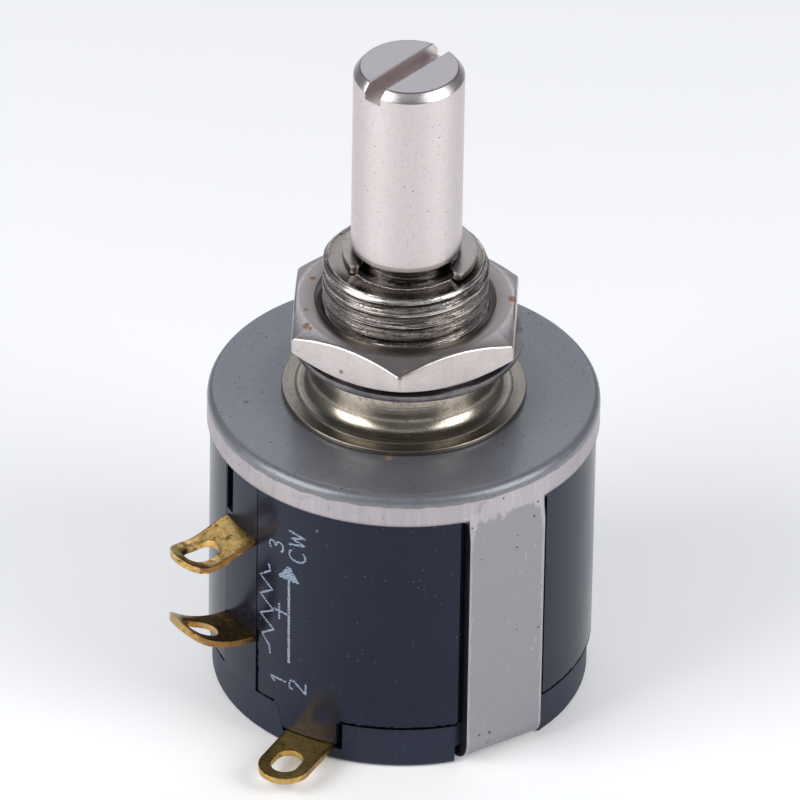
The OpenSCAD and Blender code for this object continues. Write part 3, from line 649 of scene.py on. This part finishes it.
def seat_block(block):
    """Brings the block's face out to the housing, and closes its left seam below the upper terminal."""
    step, gap, inner = 0.235 * MM, 0.065 * MM, 10.8 * MM
    level = UPPER_TAB_HEIGHT * MM
    a = math.radians(BLOCK_AZIMUTH)
    side = Vector((math.cos(a), math.sin(a), 0))
    bm = bmesh.new()
    bm.from_mesh(block.data)
    for height in (level, level + 0.15 * MM):
        bmesh.ops.bisect_plane(
            bm, geom=[*bm.verts, *bm.edges, *bm.faces], plane_co=(0, 0, height), plane_no=(0, 0, 1)
        )
    for v in bm.verts:
        reach, across = v.co.xy.length, v.co.dot(side)
        if reach > inner:
            v.co.xy *= (reach + step) / reach
            if across < -1.5 * MM and v.co.z < level + 0.05 * MM:
                v.co -= side * gap
    keep_mesh(bm, block.data)


def blend_straps(lid):
    """Bends the top of each strap onto the round of the rim, as the press leaves it."""
    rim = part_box("front_lid")[1].x
    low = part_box("front_lid")[1].z - RIM_DEPTH * MM
    start, length = low - 1.7 * MM, 1.4 * MM
    turn = Matrix.Rotation(-FRONT - math.radians(STRAP_AZIMUTH), 4, "Z")
    bm = bmesh.new()
    bm.from_mesh(lid.data)
    bmesh.ops.transform(bm, matrix=turn, verts=bm.verts)

    def on_strap(v, lowest):
        return abs(v.co.x) > 11.0 * MM and abs(v.co.y) < 2.7 * MM and v.co.z > lowest

    def cut(level, normal, lowest):
        faces = [f for f in bm.faces if all(on_strap(v, lowest) for v in f.verts)]
        edges = {e for f in faces for e in f.edges}
        verts = {v for f in faces for v in f.verts}
        bmesh.ops.bisect_plane(bm, geom=[*verts, *edges, *faces], plane_co=normal * level, plane_no=normal)

    for down in (1.7, 1.45, 1.2, 0.95, 0.7, 0.5, 0.3, 0.1):
        cut(low - down * MM, Vector((0, 0, 1)), 0)
    for side in (-2.1, -1.6, -1.1, -0.55, 0, 0.55, 1.1, 1.6, 2.1):
        cut(side * MM, Vector((0, 1, 0)), low - 1.75 * MM)
    for v in bm.verts:
        x, y, z = abs(v.co.x), abs(v.co.y), v.co.z
        if x > 10.98 * MM and y < 3.1 * MM and start < z < low + 0.45 * MM:
            w = 1.0 if y > (STRAP_HALF + 0.01) * MM else min(1.0, (z - start) / length)
            w = w * w * (3 - 2 * w)
            v.co.x = math.copysign(x + w * (math.sqrt(rim**2 - y**2) - x), v.co.x)
    bmesh.ops.transform(bm, matrix=turn.inverted(), verts=bm.verts)
    keep_mesh(bm, lid.data)


def ring_points(radius, height, angles):
    """Points of one ring; radius and height may depend on the angle."""
    points = []
    for a in angles:
        r = radius(a) if callable(radius) else radius
        z = height(a) if callable(height) else height
        points.append(Vector((r * math.cos(a), r * math.sin(a), z)) * MM)
    return points


def solid_of_rings(rings, thread=None):
    """Closed mesh through rings of equally many points, the last ring joined to the first.

    thread (first ring, last ring, step) names rings that end where the ring step further on starts.
    """
    bm = bmesh.new()
    rows = [[bm.verts.new(p) for p in ring] for ring in rings]
    starts = [row[0] for row in rows]
    if thread:
        first, last, step = thread
        for k in range(first, last + 1):
            starts[k] = rows[min(k + step, last)][0]
    for k, row in enumerate(rows):
        after = (k + 1) % len(rows)
        here, there = [*row, starts[k]], [*rows[after], starts[after]]
        for i in range(len(row)):
            corners = (here[i], here[i + 1], there[i + 1], there[i])
            bm.faces.new(dict.fromkeys(corners))
    bmesh.ops.remove_doubles(bm, verts=bm.verts, dist=0.002 * MM)
    bmesh.ops.recalc_face_normals(bm, faces=bm.faces)
    return bm


def arc_steps(centre, radius, start, end, steps):
    """Points (r, z) of an arc, angles in degrees."""
    points = []
    for i in range(steps + 1):
        a = math.radians(start + (end - start) * i / steps)
        points.append((centre[0] + radius * math.cos(a), centre[1] + radius * math.sin(a)))
    return points


# Share of the pitch, and how far the worn thread lies below its crest there, as a share of its depth
THREAD_SHAPE = (
    (0.00, 0.07),
    (0.02, 0.00),
    (0.09, 0.00),
    (0.12, 0.10),
    (0.15, 0.00),
    (0.24, 0.00),
    (0.27, 0.08),
    (0.38, 0.36),
    (0.42, 0.32),
    (0.60, 0.88),
    (0.64, 1.00),
    (0.69, 1.00),
    (0.73, 0.88),
    (0.90, 0.34),
)


def thread_rings(low, high, angles):
    """Rings along a right-hand thread, trimmed at its ends and chamfered at the top."""
    s = sizes()
    pitch, depth, major = s.thread_pitch, s.thread_depth, s.thread_diameter / 2
    chamfer, end = major - 0.28, major - 0.30
    turns = int((high - low) / pitch) + 3
    rings = []
    for turn in range(-1, turns):
        for share, fall in THREAD_SHAPE:

            def height(a, lift=(turn + share) * pitch):
                return min(high, max(low, low + lift + pitch * a / (2 * math.pi) - pitch))

            def radius(a, fall=fall, height=height):
                z = height(a)
                if z <= low:
                    return major - depth
                return end if z >= high else min(major - depth * fall, chamfer + high - z)

            rings.append(ring_points(radius, height, angles))
    return rings


def bushing_mesh():
    """Bushing with flange, collar, filleted neck and a cut thread."""
    s = sizes()
    low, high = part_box("bushing")
    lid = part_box("front_lid")[1].z / MM
    top, bottom, collar, bore = high.z / MM, low.z / MM, high.x / MM, 3.215
    neck, fillet = s.neck_diameter / 2, s.neck_fillet
    shoulder, root = lid + s.shoulder_height, s.thread_diameter / 2 - s.thread_depth
    flange, flange_top, hole = 5.7, bottom + 0.48, 5.0
    edge, foot = lid + 0.34, lid + 0.42
    angles = [2 * math.pi * i / 160 for i in range(160)]

    outline = [(bore, bottom), (flange - 0.02, bottom), (flange, flange_top), (hole, flange_top)]
    outline += [(hole, lid + 0.01), (collar - 0.08, lid + 0.01)]
    outline += arc_steps((collar - 0.06, lid + 0.09), 0.06, -45, 0, 2)
    outline += arc_steps((collar - 0.07, edge - 0.07), 0.07, 0, 90, 4)
    outline += [(collar - s.collar_flat, edge), (neck + fillet + 0.05, edge + 0.03)]
    outline += arc_steps((neck + fillet, foot + fillet), fillet, -100, -180, 8)
    outline += [(neck, shoulder - 0.9), (neck - 0.015, shoulder - 0.86), (neck, shoulder - 0.82)]
    outline += [(neck, shoulder - 0.08), (neck - 0.08, shoulder), (root, shoulder)]
    dish = [(4.42, top), (4.30, top - 0.05), (3.95, top - 0.12), (3.60, top - 0.08), (3.44, top)]
    rim = [(bore + 0.1, top), (bore + 0.03, top - 0.05), (bore, top - 0.2)]

    rings = [ring_points(r, z, angles) for r, z in outline]
    first = len(rings)
    rings += thread_rings(shoulder, top, angles)
    thread = (first, len(rings) - 1, len(THREAD_SHAPE))
    rings += [ring_points(r, z, angles) for r, z in dish + rim]
    return solid_of_rings(rings, thread)


def nut_angles():
    """Angles round the nut, closer together near its corners."""
    away = (0.25, 0.5, 0.8, 1.1, 1.6, 3, 5, 8, 12, 18, 24)
    steps = (-30, *(-d for d in reversed(away)), 0, *away)
    return [math.radians(60 * k + d) for k in range(6) for d in steps]


def nut_mesh():
    """Hex nut with rounded corners, chamfers at both faces and a countersunk bore."""
    s = sizes()
    low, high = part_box("hex_nut")
    bottom, top, bore = low.z / MM, high.z / MM, 4.81
    half, corner, widest = s.nut_width / 2, 0.27, math.radians(2.6)
    reach = (half - corner) / math.cos(math.pi / 6)
    flat, slope = half - 0.12, math.tan(math.radians(32))
    angles = nut_angles()

    def side(a):
        """Radius of the side wall, whose corners are rounded."""
        off = (a + math.pi / 6) % (math.pi / 3) - math.pi / 6
        plain = half / math.cos(math.pi / 6 - abs(off))
        inside = corner**2 - (reach * math.sin(off)) ** 2
        if inside <= 0 or abs(off) > widest:
            return plain
        return min(plain, reach * math.cos(off) + math.sqrt(inside))

    def level(sign, face, out, inner):
        """Ring near one face: out mm inside the side wall, and inner mm from the chamfer."""
        return ring_points(
            lambda a: side(a) - out,
            lambda a: face - sign * (max(0.0, side(a) - flat) * slope + inner),
            angles,
        )

    rings = [
        ring_points(bore, bottom + 0.3, angles),
        ring_points(bore + 0.34, bottom, angles),
        ring_points(flat - 0.05, bottom, angles),
    ]
    rings += [level(-1, bottom, out, inner) for inner, out in ((0.0, 0.13), (0.03, 0.05), (0.08, 0.0))]
    rounding = ((0.20, 0.0), (0.10, 0.02), (0.035, 0.07), (0.0, 0.16))
    rings += [level(1, top, out, inner) for inner, out in rounding]
    rings += [
        ring_points(flat - 0.25, top, angles),
        ring_points(bore + 0.45, top, angles),
        ring_points(bore + 0.38, top - 0.03, angles),
        ring_points(bore, top - 0.38, angles),
    ]
    bm = solid_of_rings(rings)
    turn = FRONT + math.radians(NUT_AZIMUTH)
    bmesh.ops.transform(bm, matrix=Matrix.Rotation(turn, 4, "Z"), verts=bm.verts)
    return bm


# Strokes on a unit height, x to the right and y up
GLYPHS = {
    "1": [[(0.08, 0.74), (0.34, 1.0), (0.34, 0.0)]],
    "2": [[(0.04, 0.78), (0.10, 0.95), (0.32, 1.0), (0.55, 0.92), (0.60, 0.72), (0.02, 0.0), (0.64, 0.0)]],
    "3": [[
        (0.04, 0.84), (0.14, 0.97), (0.38, 1.0), (0.56, 0.88), (0.55, 0.68), (0.30, 0.54),
        (0.58, 0.42), (0.64, 0.20), (0.48, 0.03), (0.22, 0.0), (0.02, 0.14),
    ]],
    "C": [[
        (0.66, 0.84), (0.52, 0.98), (0.30, 1.0), (0.10, 0.82), (0.03, 0.50), (0.10, 0.18),
        (0.30, 0.0), (0.52, 0.02), (0.66, 0.16),
    ]],
    "W": [[(0.0, 1.0), (0.20, 0.0), (0.42, 0.86), (0.64, 0.0), (0.84, 1.0)]],
}

# Points (across, height) on the housing's side, in mm
SYMBOL_ZIGZAG = [
    (-8.30, 12.25), (-8.18, 11.80), (-9.00, 11.20), (-7.98, 10.57), (-8.97, 9.90), (-7.90, 9.20),
    (-8.95, 8.52), (-7.86, 7.86), (-8.80, 7.17), (-8.20, 6.60), (-8.13, 6.03),
]


def on_housing(across, height, lift):
    """Point on the housing's side: across mm to the right of the front, height mm up."""
    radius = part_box("housing_shell")[1].x / MM
    a = FRONT + across / radius
    return Vector(((radius + lift) * math.cos(a), (radius + lift) * math.sin(a), height)) * MM


def add_stroke(bm, points, width):
    """Ribbon of that width along points (across, height), laid round the housing."""
    fine = []
    for (x0, y0), (x1, y1) in zip(points, points[1:]):
        steps = max(1, int(math.hypot(x1 - x0, y1 - y0) / 0.15))
        fine += [(x0 + (x1 - x0) * i / steps, y0 + (y1 - y0) * i / steps) for i in range(steps)]
    fine.append(points[-1])
    rows = []
    for i, (x, y) in enumerate(fine):
        x0, y0 = fine[max(0, i - 1)]
        x1, y1 = fine[min(len(fine) - 1, i + 1)]
        run = math.hypot(x1 - x0, y1 - y0)
        nx, ny = -(y1 - y0) / run * width / 2, (x1 - x0) / run * width / 2
        wobble = 0.16 * math.sin(i * 2.4) + 0.12 * math.sin(i * 1.3 + 1)
        nx, ny = nx * (1 + wobble), ny * (1 + wobble)
        corners = ((x + nx, y + ny), (x - nx, y - ny))
        rows.append([bm.verts.new(on_housing(u, v, h)) for h in (INK_FACE, INK_BACK) for u, v in corners])
    for a, b in zip(rows, rows[1:]):
        for i, j in ((0, 1), (1, 3), (3, 2), (2, 0)):
            bm.faces.new((a[i], a[j], b[j], b[i]))
    bm.faces.new((rows[0][1], rows[0][0], rows[0][2], rows[0][3]))
    bm.faces.new((rows[-1][0], rows[-1][1], rows[-1][3], rows[-1][2]))


def add_glyph(bm, letter, across, height, scale):
    """A character that reads upwards, its foot at across and its start at height."""
    tall = sizes().print_height * scale
    for line in GLYPHS[letter]:
        points = [(across + tall * (1 - y), height + tall * x) for x, y in line]
        add_stroke(bm, points, sizes().stroke)


def symbol_mesh():
    """Terminal numbers, turning direction, arrow and resistor symbol."""
    bm = bmesh.new()
    stroke = sizes().stroke
    add_stroke(bm, SYMBOL_ZIGZAG, stroke)
    add_stroke(bm, [(-6.75, 6.0), (-6.80, 11.9)], stroke * 1.35)
    add_stroke(bm, [(-7.47, 8.76), (-7.47, 9.90)], stroke)
    add_stroke(bm, [(-7.86, 9.34), (-6.80, 9.33)], stroke)
    for share in (0.0, 0.2, 0.4, 0.6, 0.8, 1.0):
        add_stroke(bm, [(-6.80, 12.64), (-7.50 + 1.34 * share, 11.74)], stroke * 1.6)
    for letter, across, height, scale in (
        ("3", -8.26, 13.45, 0.92),
        ("C", -6.80, 13.22, 0.98),
        ("W", -6.84, 14.30, 1.0),
        ("1", -8.05, 4.20, 1.0),
        ("2", -6.70, 4.20, 1.0),
    ):
        add_glyph(bm, letter, across, height, scale)
    bmesh.ops.recalc_face_normals(bm, faces=bm.faces)
    return bm


class POT_OT_housing(bpy.types.Operator):
    """Moulded housing, rear cover and terminal block"""

    bl_idname = "pot.housing"
    bl_label = "Housing and rear cover"

    def execute(self, context):
        w = sizes().edge_round
        housing = moulding_finish("housing_finish", 0.13, marks=housing_marks)
        softened("housing_shell", "housing_moulding", housing, w)
        cover = moulding_finish("cover_finish", 0.42, 1.3, cover_marks, 0.45)
        softened("rear_cover", "cover_moulding", cover, w * 1.4)
        block = moulding_finish("block_finish", 0.18)
        seat_block(softened("terminal_block", "block_moulding", block, w))
        return {"FINISHED"}


class POT_OT_lid(bpy.types.Operator):
    """Pressed lid with its folded straps"""

    bl_idname = "pot.lid"
    bl_label = "Lid and straps"

    def execute(self, context):
        blend_straps(softened("front_lid", "lid_pressing", lid_finish(), sizes().edge_round))
        return {"FINISHED"}


class POT_OT_bushing(bpy.types.Operator):
    """Threaded bushing"""

    bl_idname = "pot.bushing"
    bl_label = "Bushing"

    def execute(self, context):
        piece = new_piece("bushing_turned", bushing_mesh(), turned_finish())
        dress("bushing", piece)
        return {"FINISHED"}


class POT_OT_fastening(bpy.types.Operator):
    """Hex nut and lock washer"""

    bl_idname = "pot.fastening"
    bl_label = "Nut and washer"

    def execute(self, context):
        c = colours()
        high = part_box("hex_nut")[1].z / MM
        finish = plated_finish("nut_finish", c.nut_nickel, 0.24, 0.8, RUST_SPOTS, high)
        dress("hex_nut", new_piece("nut_body", nut_mesh(), finish))
        washer = plated_finish("washer_finish", c.washer, 0.28, 0.3)
        softened("lock_washer", "washer_toothed", washer, 0.06)
        return {"FINISHED"}


class POT_OT_shaft(bpy.types.Operator):
    """Slotted shaft and its retaining ring"""

    bl_idname = "pot.shaft"
    bl_label = "Shaft and retaining ring"

    def execute(self, context):
        c = colours()
        softened("shaft", "shaft_turned", shaft_finish(), 0.07)
        ring = plated_finish("ring_finish", shade(c.thread_metal, 0.62), 0.2, 0.3)
        softened("retaining_ring", "ring_open", ring, 0.2)
        return {"FINISHED"}


class POT_OT_terminals(bpy.types.Operator):
    """Solder tabs"""

    bl_idname = "pot.terminals"
    bl_label = "Terminals"

    def execute(self, context):
        c = colours()
        for node, base, azimuth, stained, worn_edge in (
            ("terminal_1", c.tab_1, BLOCK_AZIMUTH, 0.6, 0.6),
            ("terminal_2", c.tab_2, TONGUE_AZIMUTH, 0.6, 0.6),
            ("terminal_3", c.tab_3, BLOCK_AZIMUTH, 0.9, 0.8),
        ):
            finish = tab_finish(node + "_finish", base, azimuth, stained, worn_edge)
            softened(node, node + "_tab", finish, 0.05)
        return {"FINISHED"}


class POT_OT_symbol(bpy.types.Operator):
    """Printed symbol and terminal numbers on the housing"""

    bl_idname = "pot.symbol"
    bl_label = "Printed symbol"

    def execute(self, context):
        piece = new_piece("printed_symbol", symbol_mesh(), ink_finish())
        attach(piece, "body")
        return {"FINISHED"}


class POT_OT_inside(bpy.types.Operator):
    """Finishes of the parts inside"""

    bl_idname = "pot.inside"
    bl_label = "Parts inside"

    def execute(self, context):
        contacts = "slip_ring contact_rail wiper_spring wiper_tip collector_brush front_lead rear_lead"
        for name, base, metallic, rough, line, nodes in (
            ("rotor_finish", (0.13, 0.085, 0.055), 0.0, 0.45, 6, "rotor carriage"),
            ("contact_finish", (0.62, 0.45, 0.2), 1.0, 0.28, 10, contacts),
            ("winding_finish", (0.34, 0.22, 0.13), 1.0, 0.4, 20, "resistance_element"),
            ("thrust_finish", (0.4, 0.41, 0.43), 1.0, 0.35, 8, "thrust_washer"),
        ):
            material = inner_finish(name, base, metallic, rough, line)
            for node in nodes.split():
                data = frame["nodes"][node].data
                if data.materials:
                    frame["nodes"][node].material_slots[0].material = material
                else:
                    data.materials.append(material)
        return {"FINISHED"}


def floor_finish():
    """Pale paper-like floor."""
    f = Finish("floor_finish", emission_strength=0.12)
    c = colours().floor
    tone = f.noise(0.02, 3)
    return f.done(f.mix(tone, shade(c, 0.99), c), 0.55, 0.0, f.bump(f.noise(0.8, 4), 0.01))


def add_light(name, place, aim, width, height, power, colour=(1, 1, 1)):
    """A soft box of that size at place, in mm, turned towards aim."""
    data = bpy.data.lights.new(name, "AREA")
    data.shape, data.size, data.size_y = "RECTANGLE", width * MM, height * MM
    data.energy, data.color = power, colour
    light = bpy.data.objects.new(name, data)
    light.location = Vector(place) * MM
    light.rotation_euler = (Vector(aim) - Vector(place)).to_track_quat("-Z", "Y").to_euler()
    bpy.context.scene.collection.objects.link(light)


class POT_OT_stage(bpy.types.Operator):
    """Floor, lights and camera"""

    bl_idname = "pot.stage"
    bl_label = "Stage"

    def execute(self, context):
        scene = context.scene
        bm = bmesh.new()
        bmesh.ops.create_grid(bm, x_segments=1, y_segments=1, size=1.5)
        floor = new_piece("floor", bm, floor_finish())
        floor.location.z = -0.02 * MM
        world = bpy.data.worlds.new("soft_room")
        world.use_nodes = True
        back = world.node_tree.nodes["Background"]
        back.inputs["Color"].default_value = (*SKY, 1)
        back.inputs["Strength"].default_value = 0.19
        scene.world = world
        centre = (0, 0, 18)
        add_light("left_box", (-165, -85, 125), centre, 150, 170, 0.39)
        add_light("right_box", (165, -80, 120), centre, 130, 160, 0.31)
        add_light("back_box", (0, 330, 240), centre, 420, 300, 0.44, SKY)
        add_light("glint_strip", (0, -125, 196), centre, 170, 34, 0.012)
        self.aim_camera(scene)
        scene.view_settings.view_transform = "Standard"
        return {"FINISHED"}

    def aim_camera(self, scene):
        stage = scene.pot_stage
        e, roll = stage.elevation, stage.roll
        back = Vector((0, -math.cos(e), math.sin(e)))
        right, up = Vector((1, 0, 0)), back.cross(Vector((1, 0, 0)))
        right, up = (
            right * math.cos(roll) + up * math.sin(roll),
            up * math.cos(roll) - right * math.sin(roll),
        )
        data = bpy.data.cameras.new("camera")
        data.sensor_width = SENSOR_WIDTH
        data.lens = SENSOR_WIDTH * stage.pixels_per_mm * (stage.distance / MM) / IMAGE_WIDTH
        data.clip_end = 10
        camera = bpy.data.objects.new("camera", data)
        turned = Matrix((right, up, back)).transposed().to_4x4()
        camera.matrix_world = Matrix.Translation(Vector(stage.aim) + back * stage.distance) @ turned
        scene.collection.objects.link(camera)
        scene.camera = camera


class POT_PT_panel(bpy.types.Panel):
    """Potentiometer steps"""

    bl_idname = "POT_PT_panel"
    bl_label = "Potentiometer"
    bl_space_type = "VIEW_3D"
    bl_region_type = "UI"
    bl_category = "Potentiometer"

    def draw(self, context):
        for group in (context.scene.pot_sizes, context.scene.pot_colours, context.scene.pot_stage):
            for name in group.__annotations__:
                self.layout.prop(group, name)
        for step in STEPS:
            self.layout.operator(step.bl_idname)


STEPS = (
    POT_OT_housing,
    POT_OT_lid,
    POT_OT_bushing,
    POT_OT_fastening,
    POT_OT_shaft,
    POT_OT_terminals,
    POT_OT_symbol,
    POT_OT_inside,
    POT_OT_stage,
)
CLASSES = (PotSizes, PotColours, PotStage, *STEPS, POT_PT_panel)


def register():
    for item in CLASSES:
        bpy.utils.register_class(item)
    bpy.types.Scene.pot_sizes = PointerProperty(type=PotSizes)
    bpy.types.Scene.pot_colours = PointerProperty(type=PotColours)
    bpy.types.Scene.pot_stage = PointerProperty(type=PotStage)


def unregister():
    del bpy.types.Scene.pot_stage
    del bpy.types.Scene.pot_colours
    del bpy.types.Scene.pot_sizes
    for item in reversed(CLASSES):
        bpy.utils.unregister_class(item)


def main():
    register()
    for step in STEPS:
        group, name = step.bl_idname.split(".")
        getattr(getattr(bpy.ops, group), name)()


if __name__ == "__main__":
    main()
